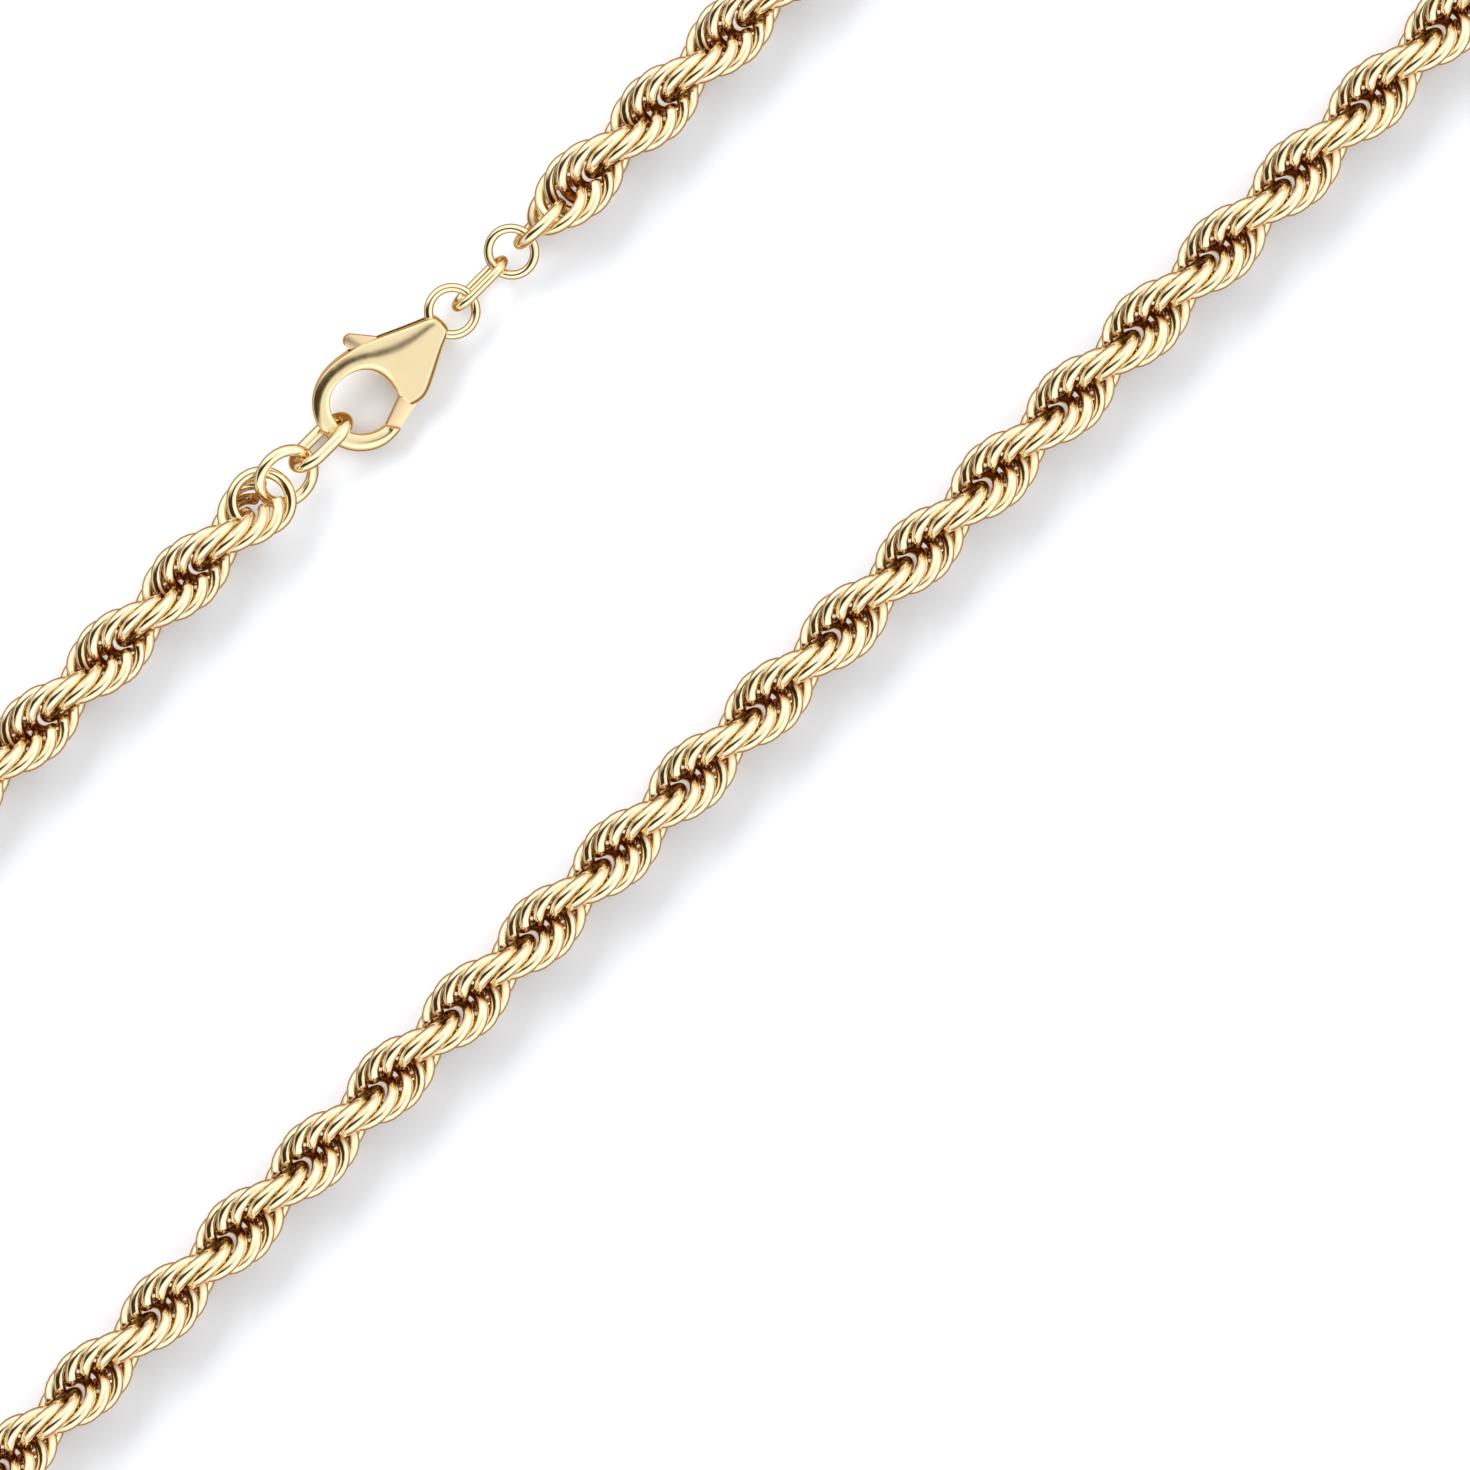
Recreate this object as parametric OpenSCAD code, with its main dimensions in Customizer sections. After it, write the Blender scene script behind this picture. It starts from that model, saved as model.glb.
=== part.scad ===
// Gold rope chain necklace with a lobster clasp, in millimetres.
// The clasped chain lies as a long loop: two straight strands along X and a round turn at each end.
// The clasp sits in the middle of the strand at +Y. Z is up, and Z = 0 is the surface it lies on.
// The origin is the middle of the loop's outer box, on that surface.

/* [Rope] */
// Width of the rope, which is also the outer size of each of its links
chain_w = 5.0; // [4.6:0.1:5.6]
// Wire of a rope link
link_wire = 0.8; // [0.6:0.05:0.8]
// Length of rope in which the pattern turns half way round
half_turn = 7.5; // [7.3:0.1:8]
// Links in that length
links_per_half_turn = 7; // [5:1:7]
// Opening of a link, at the end that points along the rope
link_mouth = 42; // [34:1:48]
// Turn of the rope's pattern at the first link, from lying flat
first_turn = 102.9; // [90:0.1:110]
// Turn by which the first link, pulled by its jump ring, lags behind the pattern
first_lag = 5; // [0:1:8]
// Turn of the last link about the rope
last_turn = 40; // [24:1:44]

/* [Loop] */
// Length of the whole necklace round its middle line, clasp included
loop_length = 496.6; // [420:0.1:610]
// Distance between the middle lines of the two strands
strand_gap = 35.1; // [28:0.1:60]

/* [Clasp] */
// Radius of the round opening inside the hook
opening_r = 2.25; // [2.1:0.05:2.5]
// Width of the hook, seen from above
hook_w = 1.25; // [1:0.05:1.4]
// Thickness of the hook
hook_t = 1.3; // [1.1:0.05:1.4]
// Thickness of the body at its middle
body_t = 2.6; // [2.4:0.1:3]
// Distance from the middle of the opening to the end of the tail
tail_reach = 8.2; // [7.8:0.1:9]
// Width of the tail
tail_w = 1.5; // [1.3:0.1:1.8]
// Metal left beyond the ring's hole in the tail
tail_wall = 0.34; // [0.25:0.01:0.5]
// Radius of the lobe that carries the pin
lobe_r = 1.15; // [1.1:0.05:1.3]
// Height of the thumb piece above the middle line
thumb_reach = 4.13; // [3.9:0.01:4.6]
// Radius of the rounded tip of the thumb piece
thumb_r = 0.52; // [0.4:0.02:0.6]
// Lean of the lying clasp about the chain's line
clasp_tilt = 10; // [4:1:12]

/* [Lever] */
// Thickness of the lever
lever_t = 1.0; // [0.8:0.05:1.1]
// Free space on each face of the lever, in its slot
slot_play = 0.1; // [0.08:0.01:0.15]
// Free space between the gate and the tip of the hook
gate_gap = 0.08; // [0.06:0.01:0.12]
// Radius of the lever round its pin
hub_r = 0.82; // [0.7:0.02:0.86]
// Diameter of the pin
pin_d = 0.8; // [0.6:0.02:0.9]
// Free space between the pin and the lever's bore, on the radius
pin_play = 0.05; // [0.03:0.01:0.08]
// Free space between the pin and its holes in the body, on the radius
pin_fit = 0.02; // [0.01:0.01:0.03]
// Depth of each end of the pin below the face of the body
pin_sink = 0.12; // [0.08:0.01:0.2]

/* [Rings and connecting links] */
// Outer diameter of the two round jump rings
jump_d = 4.0; // [3.8:0.1:4.4]
// Wire of the jump rings
jump_wire = 0.67; // [0.6:0.01:0.72]
// Upward slope of the jump ring that holds the rope
jump_slope = 15; // [12:1:17]
// Length of the oval link between the jump rings
oval_len = 5.3; // [5:0.1:6]
// Width of the oval link
oval_w = 3.0; // [2.8:0.1:3.2]
// Wire of the oval link
oval_wire = 0.65; // [0.55:0.01:0.7]
// Lean of the oval link from upright
oval_lean = 14; // [8:1:16]
// Length of the end link that hangs in the hook
end_len = 5.7; // [5.6:0.1:6.2]
// Width of the end link
end_w = 3.9; // [3.8:0.1:4.1]
// Wire of the end link
end_wire = 0.9; // [0.8:0.02:0.94]
// Lean of the end link from upright
end_lean = 26; // [22:1:30]
// Upward slope of the end link towards the rope
end_slope = 9; // [7:1:10]

/* [Play between pieces] */
// Free space between a link and the wire that it carries
link_play = 0.12; // [0.1:0.01:0.2]
// Free space between the clasp's ring and the oval link
oval_slack = 0.58; // [0.4:0.02:0.7]
// Free space between the hook and the end link
hook_play = 0.23; // [0.2:0.01:0.3]
// Free space between the end link and the last rope link
last_play = 0.25; // [0.2:0.01:0.3]
// Open stretch of rope between the end link and the next rope link
end_opening = 0.52; // [0.4:0.02:0.8]
// Free space between the rope links shown one by one and the plain rope
rope_gap = 0.15; // [0.1:0.01:0.3]

/* [Hidden] */
$fn = 64;
gold = [0.93, 0.77, 0.47];
gold_inside = [0.85, 0.67, 0.38];
shown_links = 7;
rope_sides = 12;
far = 20;

// the rope's own values
link_step = half_turn / links_per_half_turn;
turn_step = 180 / links_per_half_turn;
link_r = (chain_w - link_wire) / 2;
end_r = strand_gap / 2;
straight = (loop_length - 2 * PI * end_r) / 2;

// heights above the surface, and the middle line of the strand that carries the clasp;
// across_r is the radius of the clasp's crowned faces, across their length
across_r = 12;
rope_z = chain_w / 2;
shift_y = -(thumb_reach * cos(clasp_tilt) + lever_t / 2 * sin(clasp_tilt) - chain_w / 2) / 2;
clasp_y = end_r + shift_y;
rest_gap = 0.05;
clasp_lift = 0.14;
clasp_z = across_r - (across_r - body_t / 2) * cos(clasp_tilt) + clasp_lift;
oval_z = (oval_w - oval_wire) / 2 * cos(oval_lean) + oval_wire / 2 + rest_gap;

// places along the clasp's strand, from the hook's opening outwards
clasp_x = -1.9;
jump_r = (jump_d - jump_wire) / 2;
hole_r = jump_wire / 2 + link_play;
tail_hole_x = tail_reach - tail_wall - hole_r;
ring_a_x = clasp_x + tail_hole_x + jump_r;
oval_x = ring_a_x + jump_r - jump_wire / 2 - oval_slack - oval_wire + oval_len / 2;
ring_b_reach = jump_r * cos(jump_slope);
ring_b_x = oval_x + oval_len / 2 - oval_wire - link_play - jump_wire / 2 + ring_b_reach;
ring_b_z = oval_z + jump_r * sin(jump_slope);
first_x = ring_b_x + ring_b_reach - jump_wire / 2 - link_play - link_wire / 2 + link_r;
second_x = ring_b_x + ring_b_reach + jump_wire / 2 + link_play + chain_w / 2;
end_x = clasp_x - opening_r + hook_play + end_wire - end_len / 2;
end_z = (end_w - end_wire) / 2 * cos(end_lean) + end_wire / 2
    + (end_len - end_w) / 2 * sin(end_slope) + rest_gap;
last_x = end_x - end_len / 2 + end_wire + last_play + link_wire / 2 - link_r;
before_last_x = end_x - end_len / 2 - end_opening - chain_w / 2;

// places and turns of the rope links at both ends of the rope
first_places = [for (i = [0 : shown_links - 1]) i == 0 ? first_x : second_x + (i - 1) * link_step];
first_turns = [for (i = [0 : shown_links - 1]) i == 0 ? first_turn - first_lag : first_turn + i * turn_step];
last_places = [for (i = [0 : shown_links - 1]) i == 0 ? last_x : before_last_x - (i - 1) * link_step];
last_turns = [for (i = [0 : shown_links - 1]) i == 0 ? last_turn : -(i - 1) * turn_step];

// outline of the clasp, seen from above, with the middle of the opening at 0, 0
outer_r = opening_r + hook_w;
lobe_at = [opening_r + lobe_r - 0.05, -opening_r + 0.5];
tail_cut = [0.3, 0.2];
tip_inner = [0.07, -opening_r - 0.13];
tip_outer = [0.73, -outer_r + 0.22];
tip_way = (tip_outer - tip_inner) / norm(tip_outer - tip_inner);
gate_shift = gate_gap * [-tip_way[1], tip_way[0]];
slot_t = lever_t + 2 * slot_play;
crest_x = tail_reach * 0.56;
along_r = pow(crest_x, 2) / (body_t - hook_t);
thumb_at = [lobe_at[0] - 0.81, thumb_reach - thumb_r];
top_edge = [
    for (a = [100 : -6 : 70]) outer_r * [cos(a), sin(a)],
    [tail_reach * 0.5, outer_r * 0.64],
    [tail_reach * 0.7, outer_r * 0.41],
    [tail_reach - tail_cut[0], tail_w / 2],
    [tail_reach, tail_w / 2 - tail_cut[1]]
];
bottom_edge = [
    [tail_reach, -tail_w / 2 + tail_cut[1]],
    [tail_reach - tail_cut[0], -tail_w / 2],
    lobe_at + lobe_r * [cos(-62), sin(-62)],
    lobe_at - [lobe_r, 0],
    [lobe_at[0] - lobe_r, -0.5],
    [opening_r * 0.6, 0.3]
];

// the plain rope's stations: place on the loop and heading, from the clasp's ring round to its hook
rope_start = first_places[shown_links - 1] + chain_w / 2 + rope_gap;
rope_end = last_places[shown_links - 1] - chain_w / 2 - rope_gap;
strand_steps = 7;
bend_steps = 10;
half_run = straight / 2;
stations = [
    for (i = [0 : strand_steps - 1])
        [rope_start + (half_run - rope_start) * i / strand_steps, end_r, 0],
    for (i = [0 : bend_steps])
        let (a = 90 - 180 * i / bend_steps) [half_run + end_r * cos(a), end_r * sin(a), a - 90],
    for (i = [1 : 2 * strand_steps - 1])
        [half_run - straight * i / (2 * strand_steps), -end_r, 180],
    for (i = [0 : bend_steps])
        let (a = 270 - 180 * i / bend_steps) [-half_run + end_r * cos(a), end_r * sin(a), a - 90],
    for (i = [1 : strand_steps])
        [-half_run + (rope_end + half_run) * i / strand_steps, end_r, 0]
];

// height of the crowned face above the middle of the clasp, at a point seen from above
function face_at(p) = body_t / 2 - max(
    across_r - sqrt(pow(across_r, 2) - pow(p[1], 2)),
    along_r - sqrt(pow(along_r, 2) - pow(p[0] - crest_x, 2))
);

// point of the plain rope's skin, at an angle round the rope
function around(station, angle) = [
    station[0] - chain_w / 2 * cos(angle) * sin(station[2]),
    station[1] + chain_w / 2 * cos(angle) * cos(station[2]) + shift_y,
    rope_z + chain_w / 2 * sin(angle)
];

// an open ring of wire in the XY plane, with its mouth towards +X
module wire_ring(radius, wire, mouth) {
    rotate([0, 0, mouth / 2])
        rotate_extrude(angle = 360 - mouth)
            translate([radius, 0])
                circle(d = wire);
}

// a closed link with straight sides and round ends, long along X, in the XY plane
module oval_wire_link(length, width, wire) {
    radius = (width - wire) / 2;
    half = (length - width) / 2;
    for (side = [-1, 1]) {
        translate([side * half, 0, 0])
            rotate([0, 0, side * 90 - 180])
                rotate_extrude(angle = 180)
                    translate([radius, 0])
                        circle(d = wire);
        translate([-half, side * radius, 0])
            rotate([0, 90, 0])
                cylinder(d = wire, h = 2 * half);
    }
}

// one link of the rope: its plane holds the rope's middle line and is turned about it
module rope_link(x, turn, mouth) {
    color(gold)
        translate([x, clasp_y, rope_z])
            rotate([turn, 0, 0])
                wire_ring(link_r, link_wire, mouth);
}

// puts a piece of the clasp where the clasp lies
module lay_clasp() {
    translate([clasp_x, clasp_y, clasp_z])
        rotate([clasp_tilt, 0, 0])
            children();
}

// half of the space inside a crowned body: below a face that bends both across and along it
module crown_half() {
    intersection() {
        translate([0, 0, body_t / 2 - across_r])
            rotate([0, 90, 0])
                cylinder(r = across_r, h = 2 * far, center = true, $fn = 180);
        translate([crest_x, 0, body_t / 2 - along_r])
            rotate([90, 0, 0])
                cylinder(r = along_r, h = 2 * far, center = true, $fn = 180);
    }
}

// a lens-shaped space that gives the body its crowned faces, thinner towards the hook and the tail
module crown() {
    intersection() {
        crown_half();
        mirror([0, 0, 1])
            crown_half();
    }
}

// the hook's bar, swept round the opening from inside the body to the slanted tip
module hook_bar() {
    difference() {
        rotate([0, 0, 75])
            rotate_extrude(angle = 212)
                translate([opening_r + hook_w / 2, 0])
                    intersection() {
                        circle(d = hook_t);
                        square([hook_w, hook_t], center = true);
                    }
        linear_extrude(height = body_t, center = true)
            polygon([
                tip_inner - tip_way,
                tip_outer + tip_way,
                tip_outer + tip_way + [3, 1],
                tip_inner - tip_way + [3, 1]
            ]);
    }
}

// everything that the lever needs inside the body: its hub, the swing of its arm and the gate's way out
module lever_slot() {
    linear_extrude(height = slot_t, center = true) {
        translate(lobe_at)
            circle(r = hub_r + slot_play);
        polygon([
            lobe_at + [0.95, 0.25],
            lobe_at + [2.45, 3.45],
            lobe_at + [2.9, far / 2],
            [opening_r - 0.4, far / 2],
            [opening_r - 0.4, opening_r + 1],
            [opening_r - 0.15, opening_r + 0.1],
            [opening_r + 0.1, opening_r - 0.85],
            [opening_r + 0.22, 0.2],
            [opening_r + 0.2, -0.9],
            [opening_r * 0.45, -0.8],
            [opening_r * 0.45, -far / 2],
            [lobe_at[0] - 0.05, -far / 2],
            lobe_at - [0.05, 0.5]
        ]);
    }
}

module clasp_body() {
    color(gold)
        lay_clasp() {
            difference() {
                union() {
                    intersection() {
                        linear_extrude(height = body_t, center = true)
                            difference() {
                                union() {
                                    polygon(concat(top_edge, bottom_edge));
                                    translate(lobe_at)
                                        circle(r = lobe_r);
                                }
                                circle(r = opening_r);
                            }
                        crown();
                    }
                    hook_bar();
                }
                lever_slot();
                translate(concat(lobe_at, 0))
                    cylinder(d = pin_d + 2 * pin_fit, h = 2 * body_t, center = true);
                rotate([-clasp_tilt, 0, 0])
                    translate([tail_hole_x + jump_r, 0, 0])
                        rotate_extrude()
                            translate([jump_r, 0])
                                circle(r = hole_r);
            }
        }
}

// a flat piece of the lever
module lever_plate() {
    linear_extrude(height = lever_t, center = true)
        children();
}

// the lever: a gate that closes the hook, a hub round the pin and an arm up to the thumb piece
module clasp_lever() {
    color(gold_inside)
        lay_clasp()
            difference() {
                union() {
                    lever_plate()
                        translate(lobe_at)
                            circle(r = hub_r);
                    lever_plate()
                        translate(thumb_at)
                            circle(r = thumb_r);
                    lever_plate()
                        polygon([
                            tip_inner + gate_shift + [0.02, 0.02],
                            [opening_r, lobe_at[1] + 0.19],
                            lobe_at + [-0.1, hub_r - 0.12],
                            lobe_at + [0, 0.12 - hub_r],
                            lobe_at + [-0.75, -1.1],
                            tip_outer + gate_shift + [0.01, 0.03]
                        ]);
                    lever_plate()
                        polygon([
                            lobe_at + [-0.7, 0.3],
                            [opening_r + 0.34, 0.2],
                            [opening_r + 0.2, opening_r - 0.85],
                            [opening_r - 0.05, opening_r + 0.15],
                            thumb_at + (thumb_r - 0.02) * [cos(185), sin(185)],
                            thumb_at + (thumb_r - 0.02) * [cos(35), sin(35)],
                            lobe_at + [0.68, 4.34],
                            lobe_at + [0.55, 3.75],
                            lobe_at + [0.35, 1.95],
                            lobe_at + [0.7, 0.15]
                        ]);
                }
                translate(concat(lobe_at, 0))
                    cylinder(d = pin_d + 2 * pin_play, h = 2 * body_t, center = true);
            }
}

module clasp_pin() {
    color(gold_inside)
        lay_clasp()
            translate(concat(lobe_at, 0))
                cylinder(d = pin_d, h = 2 * (face_at(lobe_at) - pin_sink), center = true);
}

module jump_ring_clasp() {
    color(gold)
        translate([ring_a_x, clasp_y, clasp_z])
            rotate_extrude()
                translate([jump_r, 0])
                    circle(d = jump_wire);
}

module oval_link() {
    color(gold)
        translate([oval_x, clasp_y, oval_z])
            rotate([90 + oval_lean, 0, 0])
                oval_wire_link(oval_len, oval_w, oval_wire);
}

module jump_ring_rope() {
    color(gold)
        translate([ring_b_x, clasp_y, ring_b_z])
            rotate([0, -jump_slope, 0])
                rotate_extrude()
                    translate([jump_r, 0])
                        circle(d = jump_wire);
}

module end_link() {
    color(gold)
        translate([end_x, clasp_y, end_z])
            rotate([0, end_slope, 0])
                rotate([90 + end_lean, 0, 0])
                    oval_wire_link(end_len, end_w, end_wire);
}

module first_link(i) {
    rope_link(first_places[i - 1], first_turns[i - 1], link_mouth);
}

// the two outermost links at this end are closed, because the end link pulls on them
module last_link(i) {
    rope_link(last_places[i - 1], last_turns[i - 1], i <= 2 ? 0 : link_mouth);
}

// the rest of the rope at its full width, swept along the stations
module rope_chain() {
    count = len(stations);
    points = [
        for (s = stations)
            for (k = [0 : rope_sides - 1])
                around(s, 360 * k / rope_sides)
    ];
    walls = [
        for (i = [0 : count - 2])
            for (k = [0 : rope_sides - 1])
                let (n = (k + 1) % rope_sides)
                    [i * rope_sides + k, i * rope_sides + n, (i + 1) * rope_sides + n, (i + 1) * rope_sides + k]
    ];
    start_cap = [for (k = [rope_sides - 1 : -1 : 0]) k];
    end_cap = [for (k = [0 : rope_sides - 1]) (count - 1) * rope_sides + k];
    color(gold)
        polyhedron(points = points, faces = concat(walls, [start_cap], [end_cap]), convexity = 6);
}

clasp_body();
clasp_lever();
clasp_pin();
jump_ring_clasp();
oval_link();
jump_ring_rope();
end_link();
first_link(1);  // first_link_1
first_link(2);  // first_link_2
first_link(3);  // first_link_3
first_link(4);  // first_link_4
first_link(5);  // first_link_5
first_link(6);  // first_link_6
first_link(7);  // first_link_7
last_link(1);  // last_link_1
last_link(2);  // last_link_2
last_link(3);  // last_link_3
last_link(4);  // last_link_4
last_link(5);  // last_link_5
last_link(6);  // last_link_6
last_link(7);  // last_link_7
rope_chain();
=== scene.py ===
import bpy
import bmesh
import math
from mathutils import Matrix, Vector, kdtree


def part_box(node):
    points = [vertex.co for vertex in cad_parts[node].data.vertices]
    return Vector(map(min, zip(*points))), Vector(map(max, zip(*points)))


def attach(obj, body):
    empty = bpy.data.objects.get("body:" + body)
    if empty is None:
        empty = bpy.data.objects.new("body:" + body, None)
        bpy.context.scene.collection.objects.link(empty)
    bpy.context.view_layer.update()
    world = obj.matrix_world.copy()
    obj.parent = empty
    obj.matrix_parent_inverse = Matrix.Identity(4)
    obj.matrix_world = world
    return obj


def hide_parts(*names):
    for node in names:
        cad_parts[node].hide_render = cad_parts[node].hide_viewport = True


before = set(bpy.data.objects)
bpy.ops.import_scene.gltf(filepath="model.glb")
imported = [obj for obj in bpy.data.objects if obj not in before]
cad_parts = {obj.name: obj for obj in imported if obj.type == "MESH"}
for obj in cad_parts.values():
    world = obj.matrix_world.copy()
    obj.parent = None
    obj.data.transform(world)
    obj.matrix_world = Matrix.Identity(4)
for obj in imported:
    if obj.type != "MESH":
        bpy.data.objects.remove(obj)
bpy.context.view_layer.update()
mm = 0.001      # sizes below are in millimetres, and angles in degrees
necklace = "necklace"
lever = "lever"

# camera, straight above the plain strand and rolled so that the strands run up to the right
cameraSet = {
    "x": 0.17,
    "y": -18.38,
    "z": 2.5,
    "field": 103.2,     # width of the picture at the chain
    "distance": 1300,
    "roll": -45,
    "sensor": 36,
    "nearest": 100,
    "furthest": 20000,
}


def makeCamera():
    data = bpy.data.cameras.new("photoCamera")
    data.sensor_width = cameraSet["sensor"]
    data.lens = cameraSet["sensor"] * cameraSet["distance"] / cameraSet["field"]
    data.clip_start = cameraSet["nearest"] * mm
    data.clip_end = cameraSet["furthest"] * mm
    camera = bpy.data.objects.new("photoCamera", data)
    height = cameraSet["z"] + cameraSet["distance"]
    camera.location = Vector((cameraSet["x"], cameraSet["y"], height)) * mm
    camera.rotation_euler = (0, 0, math.radians(cameraSet["roll"]))
    bpy.context.scene.collection.objects.link(camera)
    bpy.context.scene.camera = camera


makeCamera()
print("camera done")


# node helpers, for the materials and for the dome
def mathNode(tree, operation, first, second=0):
    node = tree.nodes.new("ShaderNodeMath")
    node.operation = operation
    for socket, value in zip(node.inputs, (first, second)):
        if isinstance(value, (int, float)):
            socket.default_value = value
        else:
            tree.links.new(value, socket)
    return node.outputs[0]


# 0 up to the low value, 1 from the high one on
def stepNode(tree, value, low, high):
    node = tree.nodes.new("ShaderNodeMapRange")
    node.interpolation_type = "SMOOTHSTEP"
    node.inputs["From Min"].default_value = low
    node.inputs["From Max"].default_value = high
    tree.links.new(value, node.inputs["Value"])
    return node.outputs["Result"]


def colourNode(tree, share, colour, other):
    node = tree.nodes.new("ShaderNodeMix")
    node.data_type = "RGBA"
    tree.links.new(share, node.inputs["Factor"])
    node.inputs["A"].default_value = colour
    tree.links.new(other, node.inputs["B"])
    return node.outputs["Result"]


def startMaterial(name):
    material = bpy.data.materials.new(name)
    material.use_nodes = True
    nodes = material.node_tree.nodes
    nodes.clear()
    output = nodes.new("ShaderNodeOutputMaterial")
    shader = nodes.new("ShaderNodeBsdfPrincipled")
    material.node_tree.links.new(shader.outputs["BSDF"], output.inputs["Surface"])
    return material, shader


# gold: two tones in patches, and a finer wear that changes roughness and bump
polished = {
    "warm": (0.95, 0.8, 0.51, 1),
    "pale": (0.96, 0.82, 0.56, 1),
    "smooth": 0.04,         # roughness from here to worn
    "worn": 0.08,
    "patches": {"scale": 400, "detail": 2},     # scales are counted over a metre
    "wear": {"scale": 2500, "detail": 4},
}
ropePolished = {
    **polished,
    "warm": (0.95, 0.8, 0.53, 1),
    "pale": (0.97, 0.83, 0.59, 1),
}
softPolished = {
    **polished,
    "warm": (0.95, 0.78, 0.45, 1),
    "pale": (0.96, 0.8, 0.5, 1),
    "smooth": 0.16,
    "worn": 0.21,
}
satin = {
    "warm": (0.93, 0.7, 0.43, 1),
    "pale": (0.97, 0.76, 0.49, 1),
    "smooth": 0.26,
    "worn": 0.34,
    "patches": {"scale": 900, "detail": 3},
    "wear": {"scale": 9000, "detail": 2, "stretch": (1, 4, 1)},     # brushed along X
}
goldWear = {
    "low": 0.3,             # the noise between these two is spread over the tones and the roughness
    "high": 0.7,
    "bumpStrength": 0.05,
    "bumpDepth": 0.01,
}


def addNoise(material, scale, detail, stretch=(1, 1, 1)):
    nodes = material.node_tree.nodes
    links = material.node_tree.links
    place = nodes.new("ShaderNodeTexCoord")
    mapping = nodes.new("ShaderNodeMapping")
    mapping.inputs["Scale"].default_value = stretch
    noise = nodes.new("ShaderNodeTexNoise")
    noise.inputs["Scale"].default_value = scale
    noise.inputs["Detail"].default_value = detail
    links.new(place.outputs["Object"], mapping.inputs["Vector"])
    links.new(mapping.outputs["Vector"], noise.inputs["Vector"])
    return noise.outputs[0]


def addColours(material, value, first, second):
    ramp = material.node_tree.nodes.new("ShaderNodeValToRGB")
    ramp.color_ramp.elements[0].position = goldWear["low"]
    ramp.color_ramp.elements[0].color = first
    ramp.color_ramp.elements[1].position = goldWear["high"]
    ramp.color_ramp.elements[1].color = second
    material.node_tree.links.new(value, ramp.inputs["Fac"])
    return ramp.outputs["Color"]


def addRange(material, value, low, high):
    spread = material.node_tree.nodes.new("ShaderNodeMapRange")
    spread.inputs["From Min"].default_value = goldWear["low"]
    spread.inputs["From Max"].default_value = goldWear["high"]
    spread.inputs["To Min"].default_value = low
    spread.inputs["To Max"].default_value = high
    material.node_tree.links.new(value, spread.inputs["Value"])
    return spread.outputs["Result"]


def addBump(material, value):
    bump = material.node_tree.nodes.new("ShaderNodeBump")
    bump.inputs["Strength"].default_value = goldWear["bumpStrength"]
    bump.inputs["Distance"].default_value = goldWear["bumpDepth"] * mm
    material.node_tree.links.new(value, bump.inputs["Height"])
    return bump.outputs["Normal"]


def goldMaterial(name, finish):
    material, shader = startMaterial(name)
    shader.inputs["Metallic"].default_value = 1
    links = material.node_tree.links
    patches = addNoise(material, **finish["patches"])
    colours = addColours(material, patches, finish["warm"], finish["pale"])
    links.new(colours, shader.inputs["Base Color"])
    wear = addNoise(material, **finish["wear"])
    links.new(addRange(material, wear, finish["smooth"], finish["worn"]), shader.inputs["Roughness"])
    links.new(addBump(material, wear), shader.inputs["Normal"])
    return material


# painted shade: the rope's gold is darkened towards the rope's middle line, where the links hide each other
ropePaintedShade = {
    "dark": (0.43, 0.19, 0.055, 1),
    "darkTo": 0.6,          # distances from the rope's middle line
    "paleFrom": 1.4,
}


def ropeGoldPaintedShade():
    material = goldMaterial("ropeGoldPaintedShade", ropePolished)
    tree = material.node_tree
    baseColour = tree.nodes["Principled BSDF"].inputs["Base Color"]
    colours = baseColour.links[0].from_socket
    depth = tree.nodes.new("ShaderNodeAttribute")
    depth.attribute_name = "fromMiddle"
    outside = stepNode(tree, depth.outputs["Fac"], ropePaintedShade["darkTo"] * mm, ropePaintedShade["paleFrom"] * mm)
    # mixes the painted shade colour into the base colour, fully dark within darkTo of the middle line
    tree.links.new(colourNode(tree, outside, ropePaintedShade["dark"], colours), baseColour)
    return material


gold = goldMaterial("polishedGold", polished)
goldSoft = goldMaterial("softPolishedGold", softPolished)
goldSatin = goldMaterial("satinGold", satin)
goldRopePaintedShade = ropeGoldPaintedShade()
print("materials done")


# what every piece goes through
def finishPiece(name, bm, material, nodes, levels=0, body=necklace):
    bmesh.ops.recalc_face_normals(bm, faces=bm.faces)
    for face in bm.faces:
        face.smooth = True
    mesh = bpy.data.meshes.new(name)
    bm.to_mesh(mesh)
    bm.free()
    mesh.materials.append(material)
    piece = bpy.data.objects.new(name, mesh)
    bpy.context.scene.collection.objects.link(piece)
    if levels:
        subdivision = piece.modifiers.new("Subdivision", "SUBSURF")
        subdivision.levels = subdivision.render_levels = levels
    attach(piece, body)
    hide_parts(*nodes)


# the share of its radius that a loop of that many corners keeps when it is subdivided
def drawIn(corners):
    return (2 + math.cos(2 * math.pi / corners)) / 3


# rope links
ropeLink = {
    "outer": 5.0,
    "wire": 0.85,
    "mouth": 42,        # left open
    "steps": 12,
    "sides": 6,
    "endSteps": 16,     # the single links at the rope's ends are finer
    "endSides": 8,
}
mergeShare = 0.01       # of the wire, within which a closed ring's ends are merged


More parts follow.
